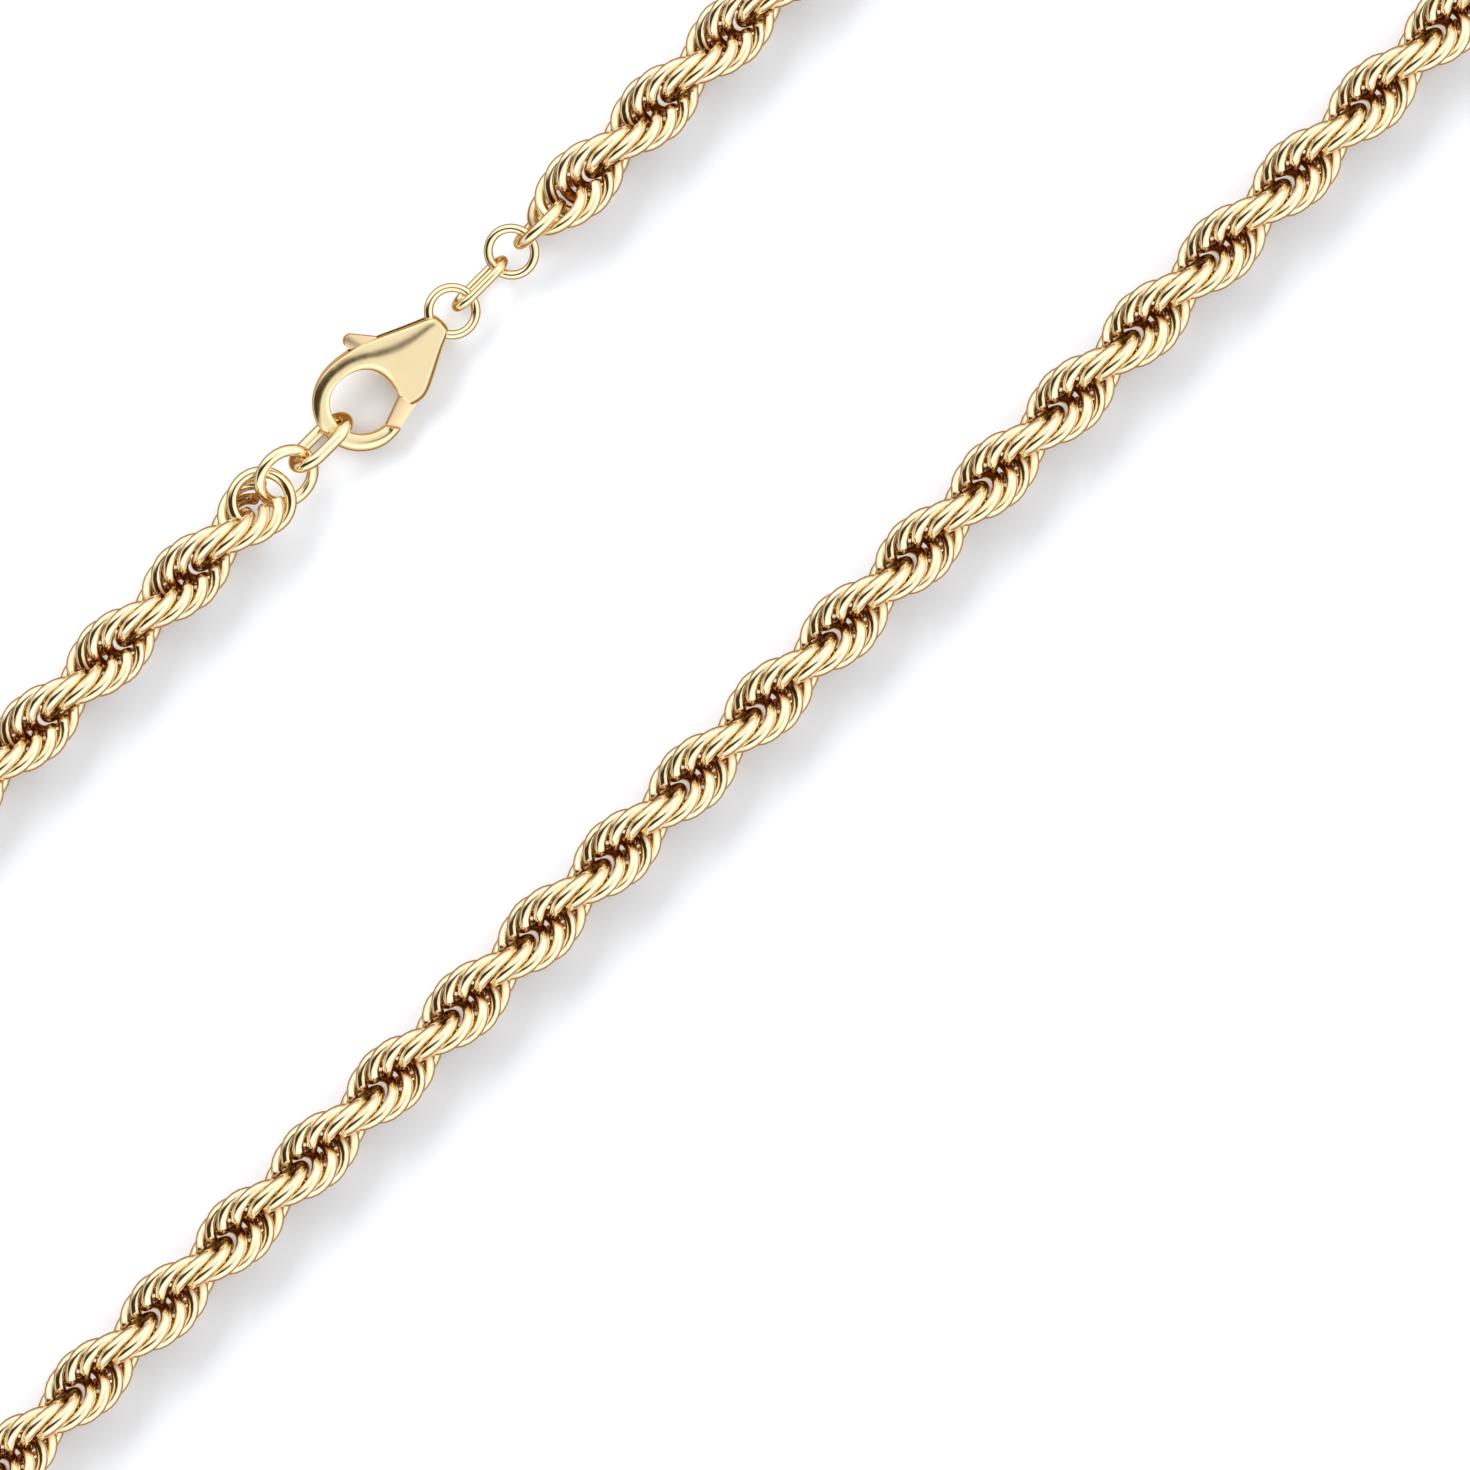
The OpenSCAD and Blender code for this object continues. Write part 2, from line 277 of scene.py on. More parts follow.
# a ring flat on XY in an empty bmesh, with its mouth towards +X, closed when the mouth is 0
def ringMesh(bm, outer, wire, mouth, steps, sides):
    crease = bm.edges.layers.float.new("crease_edge")
    turn = 360 - mouth
    middle = (outer - wire) / 2
    spread = middle / drawIn(steps * 360 / turn)
    section = Matrix.Translation((spread, 0, 0)) @ Matrix.Rotation(math.pi / 2, 4, "X")
    start = Matrix.Rotation(math.radians(mouth / 2), 4, "Z")
    made = bmesh.ops.create_circle(
        bm, segments=sides, radius=wire / 2 / drawIn(sides), matrix=start @ section)
    firstEnd = made["verts"]
    spun = bmesh.ops.spin(
        bm, geom=firstEnd + bm.edges[:], cent=(0, 0, 0), axis=(0, 0, 1), angle=math.radians(turn),
        steps=steps, use_merge=mouth == 0, use_duplicate=False)
    if mouth == 0:
        bmesh.ops.remove_doubles(bm, verts=bm.verts, dist=wire * mergeShare)
        return
    # the ends aren't drawn in, so they go back to the ring's own radius
    lastEnd = [item for item in spun["geom_last"] if isinstance(item, bmesh.types.BMVert)]
    for verts, angle in ((firstEnd, mouth / 2), (lastEnd, -mouth / 2)):
        outward = Vector((math.cos(math.radians(angle)), math.sin(math.radians(angle)), 0))
        bmesh.ops.translate(bm, verts=verts, vec=outward * (middle - spread))
    rims = [edge for edge in bm.edges if edge.is_boundary]
    bmesh.ops.holes_fill(bm, edges=rims, sides=sides)
    for edge in rims:
        edge[crease] = 1


# a link round the rope's middle line, which is its X axis; each point keeps its distance from it, which
# places the painted shade
def linkTemplate(mouth, steps, sides):
    bm = bmesh.new()
    fromMiddle = bm.verts.layers.float.new("fromMiddle")
    ringMesh(bm, ropeLink["outer"] * mm, ropeLink["wire"] * mm, mouth, steps, sides)
    for vert in bm.verts:
        vert[fromMiddle] = vert.co.yz.length
    mesh = bpy.data.meshes.new("linkTemplate")
    bm.to_mesh(mesh)
    bm.free()
    return mesh


# the loop that the rope lies in: two straight strands and a round turn at each end
loop = {
    "endRadius": 17.55,
    "halfRun": 96.58,           # half a strand
    "halfTurn": 7.5,            # length of rope in which the links turn half round
    "linksPerHalfTurn": 7,
    "firstX": 15.927,           # the first links' places along the loop
    "secondX": 17.637,
    "lastX": -9.27,             # the last links' places, counted from the loop's end
    "beforeLastX": -11.74,
    "firstTurn": 102.9,
    "firstLag": 5,
    "lastTurn": 40,
    "shownLinks": 7,            # single links at each end
    "openLinks": 3,             # of them, too open to be shaded
    "steps": 436,               # spaces between the second link and the last but one
    "runs": 9,
}
loopLength = 4 * loop["halfRun"] + 2 * math.pi * loop["endRadius"]
linkStep = loop["halfTurn"] / loop["linksPerHalfTurn"]
turnStep = 180 / loop["linksPerHalfTurn"]


def loopCentre():
    low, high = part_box("rope_chain")
    return (low.y + high.y) / 2 / mm


# the point that far along the loop, from the middle of the clasp's strand, and the heading there
def placeOnLoop(along):
    radius = loop["endRadius"]
    run = loop["halfRun"]
    middle = loopCentre()
    lengths = (run, math.pi * radius, 2 * run, math.pi * radius, run)
    part = 0
    while part < len(lengths) - 1 and along > lengths[part]:
        along -= lengths[part]
        part += 1
    turned = along / radius
    out = radius * math.sin(turned)
    up = radius * math.cos(turned)
    if part == 0:
        return Vector((along, middle + radius, 0)), 0
    if part == 1:
        return Vector((run + out, middle + up, 0)), -turned
    if part == 2:
        return Vector((run - along, middle - radius, 0)), math.pi
    if part == 3:
        return Vector((-run - out, middle - up, 0)), math.pi - turned
    return Vector((-run + along, middle + radius, 0)), 0


def linkMatrix(along, turn):
    place, heading = placeOnLoop(along)
    place.z = ropeLink["outer"] / 2
    return (Matrix.Translation(place * mm) @ Matrix.Rotation(heading, 4, "Z")
            @ Matrix.Rotation(math.radians(turn), 4, "X"))


def addLink(bm, template, matrix):
    before = len(bm.verts)
    bm.from_mesh(template)
    bm.verts.ensure_lookup_table()
    bmesh.ops.transform(bm, matrix=matrix, verts=bm.verts[before:])


# place along the loop, turn and mouth of each single link, from the rope's end inwards
def firstPlaces():
    mouth = ropeLink["mouth"]
    places = [(loop["firstX"], loop["firstTurn"] - loop["firstLag"], mouth)]
    for index in range(loop["shownLinks"] - 1):
        along = loop["secondX"] + index * linkStep
        places.append((along, loop["firstTurn"] + (index + 1) * turnStep, mouth))
    return places


# the outermost two are closed
def lastPlaces():
    places = [(loopLength + loop["lastX"], loop["lastTurn"], 0)]
    for index in range(loop["shownLinks"] - 1):
        along = loopLength + loop["beforeLastX"] - index * linkStep
        places.append((along, -index * turnStep, ropeLink["mouth"] if index else 0))
    return places


def makeEndLinks(end, places):
    for number, (along, turn, mouth) in enumerate(places, 1):
        template = linkTemplate(mouth, ropeLink["endSteps"], ropeLink["endSides"])
        bm = bmesh.new()
        addLink(bm, template, linkMatrix(along, turn))
        bpy.data.meshes.remove(template)
        # the outermost links keep plain gold, without the painted shade
        material = gold if number <= loop["openLinks"] else goldRopePaintedShade
        finishPiece(f"{end}Link{number}", bm, material, [f"{end}_link_{number}"], levels=2)


# the long run between the single links, in pieces of about the same length, and then those links
def makeRope():
    template = linkTemplate(ropeLink["mouth"], ropeLink["steps"], ropeLink["sides"])
    start = loop["secondX"]
    startTurn = loop["firstTurn"] + turnStep
    step = (loopLength + loop["beforeLastX"] - start) / loop["steps"]
    shown = loop["shownLinks"] - 1
    indexes = range(shown, loop["steps"] + 1 - shown)
    share = math.ceil(len(indexes) / loop["runs"])
    for run in range(loop["runs"]):
        bm = bmesh.new()
        for index in indexes[run * share:(run + 1) * share]:
            addLink(bm, template, linkMatrix(start + index * step, startTurn + index * turnStep))
        finishPiece(f"ropeRun{run + 1}", bm, goldRopePaintedShade, ["rope_chain"], levels=1)
    bpy.data.meshes.remove(template)
    makeEndLinks("first", firstPlaces())
    makeEndLinks("last", lastPlaces())


makeRope()
print("rope done")


# round jump rings and oval links
jumpRing = {
    "outer": 4.0,
    "wire": 0.67,
    "steps": 20,
    "sides": 8,
    "slope": 15,        # of the ring that holds the rope
}
ovalLink = {
    "length": 5.3,
    "width": 3.0,
    "wire": 0.65,
    "lean": 14,
    "slope": 0,
}
endLink = {
    "length": 5.7,
    "width": 3.9,
    "wire": 0.9,
    "lean": 26,
    "slope": 9,
}


def boxCentre(node):
    low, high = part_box(node)
    return (low + high) / 2


def makeJumpRing(name, node, slope):
    bm = bmesh.new()
    ringMesh(bm, jumpRing["outer"] * mm, jumpRing["wire"] * mm, 0, jumpRing["steps"], jumpRing["sides"])
    matrix = Matrix.Translation(boxCentre(node)) @ Matrix.Rotation(math.radians(-slope), 4, "Y")
    bmesh.ops.transform(bm, matrix=matrix, verts=bm.verts)
    finishPiece(name, bm, gold, [node], levels=2)


# a round ring pulled apart into two straight sides, then stood on edge
def makeOval(name, node, link):
    bm = bmesh.new()
    ringMesh(bm, link["width"] * mm, link["wire"] * mm, 0, jumpRing["steps"], jumpRing["sides"])
    halfStep = Matrix.Rotation(math.pi / jumpRing["steps"], 3, "Z")
    bmesh.ops.rotate(bm, verts=bm.verts, cent=(0, 0, 0), matrix=halfStep)
    stretch = (link["length"] - link["width"]) / 2 * mm
    for side in (-1, 1):
        half = [vert for vert in bm.verts if vert.co.x * side > 0]
        bmesh.ops.translate(bm, verts=half, vec=(side * stretch, 0, 0))
    straight = [edge for edge in bm.edges if edge.verts[0].co.x * edge.verts[1].co.x < 0]
    bmesh.ops.subdivide_edges(bm, edges=straight, cuts=2)
    matrix = (Matrix.Translation(boxCentre(node)) @ Matrix.Rotation(math.radians(link["slope"]), 4, "Y")
              @ Matrix.Rotation(math.radians(90 + link["lean"]), 4, "X"))
    bmesh.ops.transform(bm, matrix=matrix, verts=bm.verts)
    finishPiece(name, bm, gold, [node], levels=2)


makeJumpRing("claspRing", "jump_ring_clasp", 0)
makeJumpRing("ropeRing", "jump_ring_rope", jumpRing["slope"])
makeOval("ovalLink", "oval_link", ovalLink)
makeOval("endLink", "end_link", endLink)
print("rings done")


# lobster clasp, in its own frame: the middle of the hook's opening at the origin, the tail towards +X
clasp = {
    "x": -1.9,
    "z": 1.6026,
    "tilt": 10,
    "tailHole": 7.405,          # where the jump ring's wire goes through the tail
    "holeRadius": 0.455,
    "holeSteps": 40,
    "holeSides": 12,
    "slot": 0.92,               # height of the gap that the lever turns in
    "lobe": (3.35, -1.75),      # the lever's pin
    "levels": 3,
    "sharp": 40,
}
# the body's stations, from the lobe round the tail and the hook to its tip: inner point, outer point
claspStations = (
    ((2.24, -1.5), (2.42, -2.62)),
    ((2.3, -1.1), (3.31, -2.92)),
    ((2.38, -0.8), (4.3, -2.6)),
    ((2.42, -0.5), (5.86, -1.74)),
    ((2.44, -0.25), (7.13, -1.06)),
    ((2.44, -0.1), (7.92, -0.78)),
    ((2.44, 0.0), (8.12, -0.45)),
    ((2.43, 0.15), (8.12, 0.45)),
    ((2.4, 0.4), (7.92, 0.78)),
    ((2.32, 0.75), (6.75, 1.27)),
    ((2.14, 1.15), (5.45, 1.85)),
    ((1.77, 1.6), (4.0, 2.55)),
    ((1.2, 1.98), (2.5, 3.12)),
    ((0.5, 2.2), (1.1, 3.42)),
    ((-0.3, 2.24), (-0.35, 3.5)),
    ((-1.08, 2.0), (-1.65, 3.08)),
    ((-1.68, 1.53), (-2.6, 2.35)),
    ((-2.1, 0.86), (-3.25, 1.3)),
    ((-2.26, 0.05), (-3.52, 0.05)),
    ((-2.12, -0.8), (-3.3, -1.25)),
    ((-1.68, -1.52), (-2.65, -2.3)),
    ((-1.08, -2.0), (-1.7, -3.07)),
    ((-0.45, -2.27), (-0.55, -3.44)),
    ((0.05, -2.36), (0.7, -3.3)),
)
# the body's faces: a soft crease under the upper edge, and the rounding of the other edges
claspFace = {
    "shares": (0.0, 0.03, 0.12, 0.3, 0.5, 0.7, 0.88, 0.97, 1.0),    # of the way from inner to outer
    "wall": 0.8,                # height of the walls in the slab, whose faces are at 1
    "endCrease": 0.8,
    # pairs of place in X and half thickness there
    "thickness": ((-3.6, 0.66), (-1.9, 0.74), (0.3, 0.92), (4.2, 1.22), (8.3, 1.2)),
    "thinnest": 0.25,
    "crease": (
        (2.0, -2.5), (1.1, -2.75), (0.2, -2.85), (-0.7, -2.78), (-1.6, -2.42), (-2.35, -1.8),
        (-2.87, -0.9), (-3.03, 0.2), (-2.75, 1.25), (-2.15, 2.0), (-1.25, 2.6), (-0.1, 2.89),
        (1.3, 2.78), (2.4, 2.3), (3.3, 1.75), (4.5, 1.22), (5.86, 0.82), (7.3, 0.55), (9.0, 0.3)),
    "creaseSteps": 12,
    "creaseSlope": 0.176,       # on the crease itself, growing outwards up to the steepest
    "creaseGrowth": ((-3.0, 1.9), (-1.5, 1.0), (0.5, 0.5), (3.4, 0.29), (5.2, 0.26), (7.6, 0.45)),
    "steepest": 0.62,
    "lobeFrom": 1.4,            # past here, below the hook's opening, is the lobe, which has no crease
    # how wide each edge is rounded, and how the face falls within that
    "rims": {
        "other": {
            "width": ((0.7, 0.3), (2.0, 0.35), (5.0, 0.4), (8.0, 0.3)),
            "slope": 0.7, "curve": 1.3},
        "tail": {
            "width": ((0.0, 0.28), (8.0, 0.28)),
            "slope": 1.25, "curve": 0.2},
        "inner": {
            "width": (
                (-2.3, 0.35), (-1.0, 0.3), (0.2, 0.2), (1.5, 0.4), (2.2, 0.52), (2.9, 0.5), (4.4, 0.18)),
            "slope": 0.2, "curve": 0.6},
        "hook": {
            "width": ((-2.3, 0.7), (0.5, 0.95)),
            "slope": 0, "curve": 0.36},
    },
    "tailFrom": 7.95,           # where the outer edge is the tail's end, and where it is the upper edge
    "topFrom": 0.4,
    "hookTo": (1.2, -0.5),      # the opening's edge left of here and below belongs to the hook's lower half
    "innerDown": 0.9,           # below this height the inner edge's place is counted downwards too
    "samples": 6,               # points that stand for each edge
    "middleGap": 0.001,         # edges within it lie on the middle plane
    "stationGap": 0.8,          # and within this of a station's point they are the body's outline
    "blend": 3,                 # power by which the crease's and the rims' falls are added up
}


# from the clasp's own frame, in millimetres, to its place in the necklace
def claspPlace():
    y = boxCentre("jump_ring_clasp").y
    return (Matrix.Translation((clasp["x"] * mm, y, clasp["z"] * mm))
            @ Matrix.Rotation(math.radians(clasp["tilt"]), 4, "X") @ Matrix.Scale(mm, 4))


# a smooth curve through four points or values, at a share of the way from the second to the third
def smoothPoint(before, first, second, after, share):
    return (first * 2 + (second - before) * share
            + (before * 2 - first * 5 + second * 4 - after) * share ** 2
            + (first * 3 - before - second * 3 + after) * share ** 3) / 2


# the smooth value at x of pairs of place and value
def valueAt(pairs, x):
    low = max(0, min(len(pairs) - 2, sum(x >= place for place, value in pairs) - 1))
    share = min(1, max(0, (x - pairs[low][0]) / (pairs[low + 1][0] - pairs[low][0])))
    values = [value for place, value in pairs]
    return smoothPoint(values[max(0, low - 1)], values[low], values[low + 1],
                       values[min(len(values) - 1, low + 2)], share)


def pointFinder(points):
    finder = kdtree.KDTree(len(points))
    for index, point in enumerate(points):
        finder.insert(point, index)
    finder.balance()
    return finder


def creasePoints():
    corners = [Vector((*corner, 0)) for corner in claspFace["crease"]]
    steps = claspFace["creaseSteps"]
    points = []
    for index in range(1, len(corners) - 2):
        points += [smoothPoint(*corners[index - 1:index + 3], step / steps) for step in range(steps)]
    return points


# the rim that an edge of the outline belongs to; the crease shapes the upper outer edge, so that has none
def rimName(middle, isInner):
    hookX, hookY = claspFace["hookTo"]
    if isInner:
        return "hook" if middle.x < hookX and middle.y < hookY else "inner"
    if middle.x > claspFace["tailFrom"]:
        return "tail"
    return None if middle.y > claspFace["topFrom"] else "other"


# nearest-point finders along the edges that are rounded
def rimFinders(bm):
    outline = [Vector((*outer, 0)) for inner, outer in claspStations]
    opening = [Vector((*inner, 0)) for inner, outer in claspStations]
    points = {name: [] for name in claspFace["rims"]}
    samples = claspFace["samples"]
    for edge in bm.edges:
        first, second = (vert.co for vert in edge.verts)
        if max(abs(first.z), abs(second.z)) > claspFace["middleGap"]:
            continue
        middle = (first + second) / 2
        outerGap = min((middle - point).length for point in outline)
        innerGap = min((middle - point).length for point in opening)
        name = rimName(middle, innerGap < outerGap)
        if name and min(outerGap, innerGap) <= claspFace["stationGap"]:
            points[name] += [first.lerp(second, step / samples) for step in range(samples)]
    return {name: pointFinder(places) for name, places in points.items()}


# how far the face has fallen at a point because of the crease
def creaseDrop(point, crease, finder):
    nearest, index, _ = finder.find(point)
    index = max(1, min(len(crease) - 2, index))
    along = (crease[index + 1] - crease[index - 1]).normalized()
    gap = point - crease[index]
    outwards = along.x * gap.y - along.y * gap.x
    growth = valueAt(claspFace["creaseGrowth"], nearest.x)
    slope = claspFace["creaseSlope"]
    onLobe = nearest.y < 0 and point.x > claspFace["lobeFrom"]
    outwards = -slope / growth if onLobe else max(outwards, -slope / growth)
    bend = min(outwards, (claspFace["steepest"] - slope) / growth)
    flat = slope ** 2 / growth / 2
    return flat + slope * bend + growth / 2 * bend ** 2 + claspFace["steepest"] * (outwards - bend)


# half the body's thickness at a point
def faceHeight(point, finders, crease):
    drops = [creaseDrop(point, crease, finders["crease"])]
    for name, rim in claspFace["rims"].items():
        nearest, _, distance = finders[name].find(point)
        place = nearest.x
        if name == "inner":
            place += max(0, claspFace["innerDown"] - nearest.y)
        inside = max(0, valueAt(rim["width"], place) - distance)
        drops.append(rim["slope"] * inside + rim["curve"] * inside ** 2)
    blend = claspFace["blend"]
    fallen = sum(max(0, drop) ** blend for drop in drops) ** (1 / blend)
    return max(valueAt(claspFace["thickness"], point.x) - fallen, claspFace["thinnest"])


# a closed section: up the inner wall, over the face, down the outer wall and back below
def claspSection(bm, inner, outer):
    inner, outer = Vector((*inner, 1)), Vector((*outer, 1))
    top = [inner.lerp(outer, share) for share in claspFace["shares"]]
    for wall in (top[0], top[-1]):
        wall.z = claspFace["wall"]
    sides = [Vector((inner.x, inner.y, 0))] + top + [Vector((outer.x, outer.y, 0))]
    sides += [Vector((point.x, point.y, -point.z)) for point in reversed(top)]
    made = bmesh.ops.create_circle(bm, segments=len(sides), radius=1)
    for vert, point in zip(made["verts"], sides):
        vert.co = point
    return made["verts"]


# a section's edges, each one once
def sectionEdges(verts):
    found = [edge for vert in verts for edge in vert.link_edges if edge.other_vert(vert) in verts]
    return list(dict.fromkeys(found))


# the body as an even slab with its own outline, one unit thick each way
def claspSlab():
    bm = bmesh.new()
    crease = bm.edges.layers.float.new("crease_edge")
    sections = [claspSection(bm, inner, outer) for inner, outer in claspStations]
    for first, second in zip(sections, sections[1:]):
        bmesh.ops.bridge_loops(bm, edges=sectionEdges(first) + sectionEdges(second))
    for section in (sections[0], sections[-1]):
        rim = sectionEdges(section)
        bmesh.ops.holes_fill(bm, edges=rim, sides=len(rim))
        for edge in rim:
            edge[crease] = claspFace["endCrease"]
    bmesh.ops.recalc_face_normals(bm, faces=bm.faces)
    return bm


# a helper for modifiers, removed again once its shape is taken
def looseObject(name, bm):
    mesh = bpy.data.meshes.new(name)
    bm.to_mesh(mesh)
    bm.free()
    piece = bpy.data.objects.new(name, mesh)
    bpy.context.scene.collection.objects.link(piece)
    return piece


def evaluatedCopy(piece):
    bpy.context.view_layer.update()
    shape = piece.evaluated_get(bpy.context.evaluated_depsgraph_get())
    bm = bmesh.new()
    bm.from_mesh(shape.to_mesh())
    return bm


# the slab with its faces brought to their height, before the slot and the hole are cut
def claspBlank():
    slab = looseObject("claspSlab", claspSlab())
    subdivision = slab.modifiers.new("Subdivision", "SUBSURF")
    subdivision.levels = subdivision.render_levels = clasp["levels"]
    bm = evaluatedCopy(slab)
    bpy.data.objects.remove(slab)
    crease = creasePoints()
    finders = rimFinders(bm)
    finders["crease"] = pointFinder(crease)
    for vert in bm.verts:
        vert.co.z *= faceHeight(Vector((vert.co.x, vert.co.y, 0)), finders, crease)
    return bm


# a plate of that outline, half its thickness on each side of the clasp's middle plane
def flatPlate(outline, thickness):
    bm = bmesh.new()
    face = bm.faces.new([bm.verts.new((x, y, -thickness / 2)) for x, y in outline])
    raised = bmesh.ops.extrude_face_region(bm, geom=[face])
    moved = [item for item in raised["geom"] if isinstance(item, bmesh.types.BMVert)]
    bmesh.ops.translate(bm, verts=moved, vec=(0, 0, thickness))
    bmesh.ops.recalc_face_normals(bm, faces=bm.faces)
    return bm


# the gap that the lever turns in, open at the body's upper and lower edge
def slotCutter():
    lobeX, lobeY = clasp["lobe"]
    outline = (
        (1.0, -6), (lobeX - 0.05, -6), (lobeX - 0.05, lobeY - 0.92), (lobeX + 0.6, lobeY - 0.7),
        (lobeX + 0.92, lobeY), (4.7, -0.9), (6.2, 0.55), (7.1, 0.62), (7.35, 1.0), (7.6, 6),
        (1.9, 6), (1.9, 3.3), (2.1, 2.4), (2.35, 1.4), (2.47, 0.2), (2.45, -0.9), (1.0, -0.8),
    )
    return flatPlate(outline, clasp["slot"])


# the tail's hole follows the jump ring, with some room round its wire
def holeCutter():
    bm = bmesh.new()
    middle = (jumpRing["outer"] - jumpRing["wire"]) / 2
    radius = clasp["holeRadius"]
    ringMesh(bm, (middle + radius) * 2, radius * 2, 0, clasp["holeSteps"], clasp["holeSides"])
    matrix = (Matrix.Rotation(math.radians(-clasp["tilt"]), 4, "X")
              @ Matrix.Translation((clasp["tailHole"] + middle, 0, 0)))
    bmesh.ops.transform(bm, matrix=matrix, verts=bm.verts)
    return bm


def cutBody():
    blank = looseObject("claspBlank", claspBlank())
    cutters = [looseObject("slotCutter", slotCutter()), looseObject("holeCutter", holeCutter())]
    for cutter in cutters:
        cut = blank.modifiers.new("Cut", "BOOLEAN")
        cut.operation = "DIFFERENCE"
        cut.solver = "EXACT"
        cut.object = cutter
    bm = evaluatedCopy(blank)
    for piece in [blank] + cutters:
        bpy.data.objects.remove(piece)
    bmesh.ops.transform(bm, matrix=claspPlace(), verts=bm.verts)
    return bm


# edges that bend by more than the angle stay sharp
def markSharp(bm, angle):
    for edge in bm.edges:
        edge.smooth = len(edge.link_faces) == 2 and edge.calc_face_angle() < math.radians(angle)


def makeClaspBody():
    bm = cutBody()
    markSharp(bm, clasp["sharp"])
    finishPiece("claspBody", bm, goldSoft, ["clasp_body"])


makeClaspBody()
print("clasp done")


# the lever: gate, hub and thumb piece in one plate
leverPlate = {
    "thickness": 0.84,
    "bevel": 0.07,
    "thumb": (2.54, 3.61),
    "thumbRadius": 0.52,
    "hubRadius": 0.82,
    "sharp": 30,
}


def arcPoints(centre, radius, angles):
    x, y = centre
    turns = [math.radians(angle) for angle in angles]
    return [(x + radius * math.cos(turn), y + radius * math.sin(turn)) for turn in turns]


# from the gate's tip up the inner side, round the thumb piece, down the outer side and round the hub
def leverOutline():
    lobeX, lobeY = clasp["lobe"]
    points = [(0.13, -2.33), (2.25, -1.56), (2.42, -0.6), (2.55, 0.3), (2.48, 1.4), (2.22, 2.4)]
    points += arcPoints(leverPlate["thumb"], leverPlate["thumbRadius"], range(190, 20, -17))
    points += [(4.03, 2.59), (3.95, 1.9), (3.7, 0.3), (4.05, -1.4)]
    points += arcPoints(clasp["lobe"], leverPlate["hubRadius"], (0, -35, -70))
    points += [(lobeX - 0.15, lobeY - 0.78), (2.6, -2.84), (0.76, -3.22)]
    return points


def makeLever():
    bm = flatPlate(leverOutline(), leverPlate["thickness"])
    rims = [edge for edge in bm.edges if edge.verts[0].co.z * edge.verts[1].co.z > 0]
    bmesh.ops.bevel(
        bm, geom=rims, offset=leverPlate["bevel"], segments=2, profile=0.5, affect="EDGES", material=-1)
    bmesh.ops.transform(bm, matrix=claspPlace(), verts=bm.verts)
    markSharp(bm, leverPlate["sharp"])
    finishPiece("claspLever", bm, goldSatin, ["clasp_lever"], body=lever)


makeLever()
print("lever done")


# the floor, which the gold doesn't mirror
floorSet = {
    "size": 4000,
    "colour": (0.86, 0.885, 0.925, 1),
    "roughness": 0.8,
}


def makeFloor():
    bm = bmesh.new()
    bmesh.ops.create_grid(bm, x_segments=1, y_segments=1, size=floorSet["size"] * mm / 2)
    mesh = bpy.data.meshes.new("floor")
    bm.to_mesh(mesh)
    bm.free()
    material, shader = startMaterial("floorWhite")
    shader.inputs["Base Color"].default_value = floorSet["colour"]
    shader.inputs["Roughness"].default_value = floorSet["roughness"]
    mesh.materials.append(material)
    floor = bpy.data.objects.new("floor", mesh)
    bpy.context.scene.collection.objects.link(floor)
    floor.visible_glossy = False


# the dome that the gold mirrors; heights on it run from -1 straight below to 1 overhead
domeSet = {
    "overhead": 0.97,           # brightness there, in a ring lower down and at the horizon
    "ring": 1.35,
    "horizon": 0.92,
    "ringFrom": (0.0, 0.5),
    "ringTo": (0.7, 0.95),
    "below": (-0.5, -0.05),
    "belowColour": (0.27, 0.12, 0.035, 1),
    "bottom": (-0.9, -0.6),
    "bottomColour": (0.62, 0.4, 0.19, 1),       # seen in the pieces' outer edges
    "stripTo": (-0.8, 0.5),     # a dark strip runs from overhead to here, as X and Y on the dome
    "stripHalf": 0.2,
    "stripWiden": 2.6,          # how much wider the strip gets by its far end
    "stripInside": 0.35,        # share of the strip that is fully dark
    "stripFade": (0.3, 0.0),
    "stripColour": (0.06, 0.035, 0.01, 1),
}


# 0 in the dark strip and 1 outside it
def outsideStrip(tree, x, y, height):
    farX, farY = domeSet["stripTo"]
    length = farX ** 2 + farY ** 2
    along = mathNode(tree, "ADD", mathNode(tree, "MULTIPLY", x, farX / length),
                     mathNode(tree, "MULTIPLY", y, farY / length))
    along = mathNode(tree, "MINIMUM", mathNode(tree, "MAXIMUM", along, 0), 1)
    gapX = mathNode(tree, "SUBTRACT", x, mathNode(tree, "MULTIPLY", along, farX))
    gapY = mathNode(tree, "SUBTRACT", y, mathNode(tree, "MULTIPLY", along, farY))
    squares = mathNode(tree, "ADD", mathNode(tree, "POWER", gapX, 2), mathNode(tree, "POWER", gapY, 2))
    widened = mathNode(tree, "ADD", mathNode(tree, "MULTIPLY", along, domeSet["stripWiden"]), 1)
    gap = mathNode(tree, "DIVIDE", mathNode(tree, "SQRT", squares), widened)
    outside = stepNode(tree, gap, domeSet["stripHalf"] * domeSet["stripInside"], domeSet["stripHalf"])
    return mathNode(tree, "MAXIMUM", outside, stepNode(tree, height, *domeSet["stripFade"]))


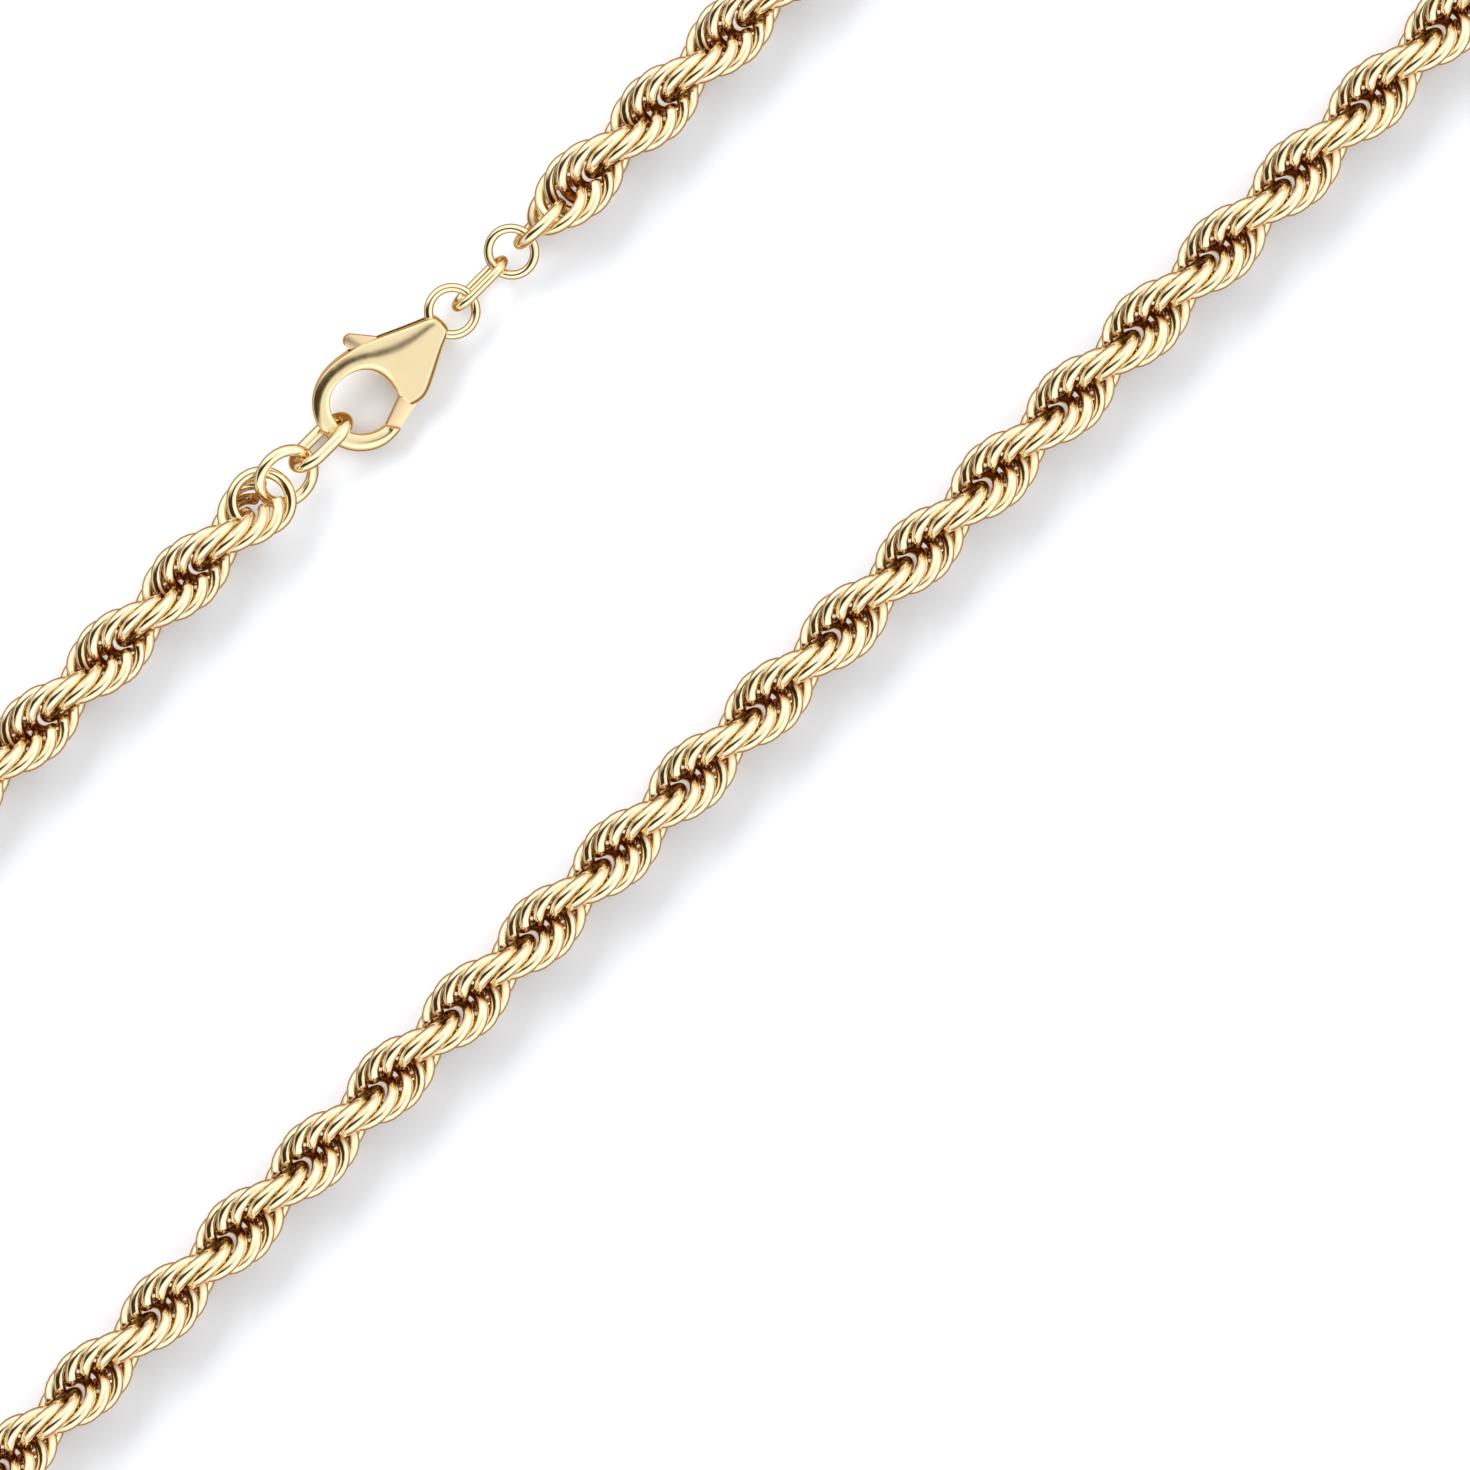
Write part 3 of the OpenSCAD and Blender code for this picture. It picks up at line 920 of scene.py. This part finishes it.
def skyBrightness(tree, height):
    rise = mathNode(tree, "MULTIPLY", stepNode(tree, height, *domeSet["ringFrom"]),
                    domeSet["ring"] - domeSet["horizon"])
    fall = mathNode(tree, "MULTIPLY", stepNode(tree, height, *domeSet["ringTo"]),
                    domeSet["ring"] - domeSet["overhead"])
    return mathNode(tree, "SUBTRACT", mathNode(tree, "ADD", rise, domeSet["horizon"]), fall)


def makeDome():
    world = bpy.data.worlds.new("studioDome")
    world.use_nodes = True
    bpy.context.scene.world = world
    tree = world.node_tree
    tree.nodes.clear()
    output = tree.nodes.new("ShaderNodeOutputWorld")
    background = tree.nodes.new("ShaderNodeBackground")
    place = tree.nodes.new("ShaderNodeTexCoord")
    split = tree.nodes.new("ShaderNodeSeparateXYZ")
    tree.links.new(place.outputs["Generated"], split.inputs["Vector"])
    x, y, height = split.outputs
    outside = outsideStrip(tree, x, y, height)
    lit = colourNode(tree, outside, domeSet["stripColour"], skyBrightness(tree, height))
    lit = colourNode(tree, stepNode(tree, height, *domeSet["below"]), domeSet["belowColour"], lit)
    lit = colourNode(tree, stepNode(tree, height, *domeSet["bottom"]), domeSet["bottomColour"], lit)
    tree.links.new(lit, background.inputs["Color"])
    tree.links.new(background.outputs["Background"], output.inputs["Surface"])


# a large soft light for the floor alone, which gives the chain its shadow
keySet = {
    "power": 62,
    "size": 2100,
    "place": (-250, 1500, 560),
}


def makeKey():
    data = bpy.data.lights.new("keyLight", "AREA")
    data.shape = "SQUARE"
    data.size = keySet["size"] * mm
    data.energy = keySet["power"]
    key = bpy.data.objects.new("keyLight", data)
    key.location = Vector(keySet["place"]) * mm
    key.rotation_euler = (-key.location).to_track_quat("-Z", "Y").to_euler()
    key.visible_camera = False
    key.visible_glossy = False
    bpy.context.scene.collection.objects.link(key)


makeFloor()
makeDome()
makeKey()
bpy.context.scene.view_settings.view_transform = "Standard"
print("floor and light done")

# the CAD nodes that still show, here the lever's pin
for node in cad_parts.values():
    if not node.hide_render:
        node.data.materials.clear()
        node.data.materials.append(gold)
print("pin done")
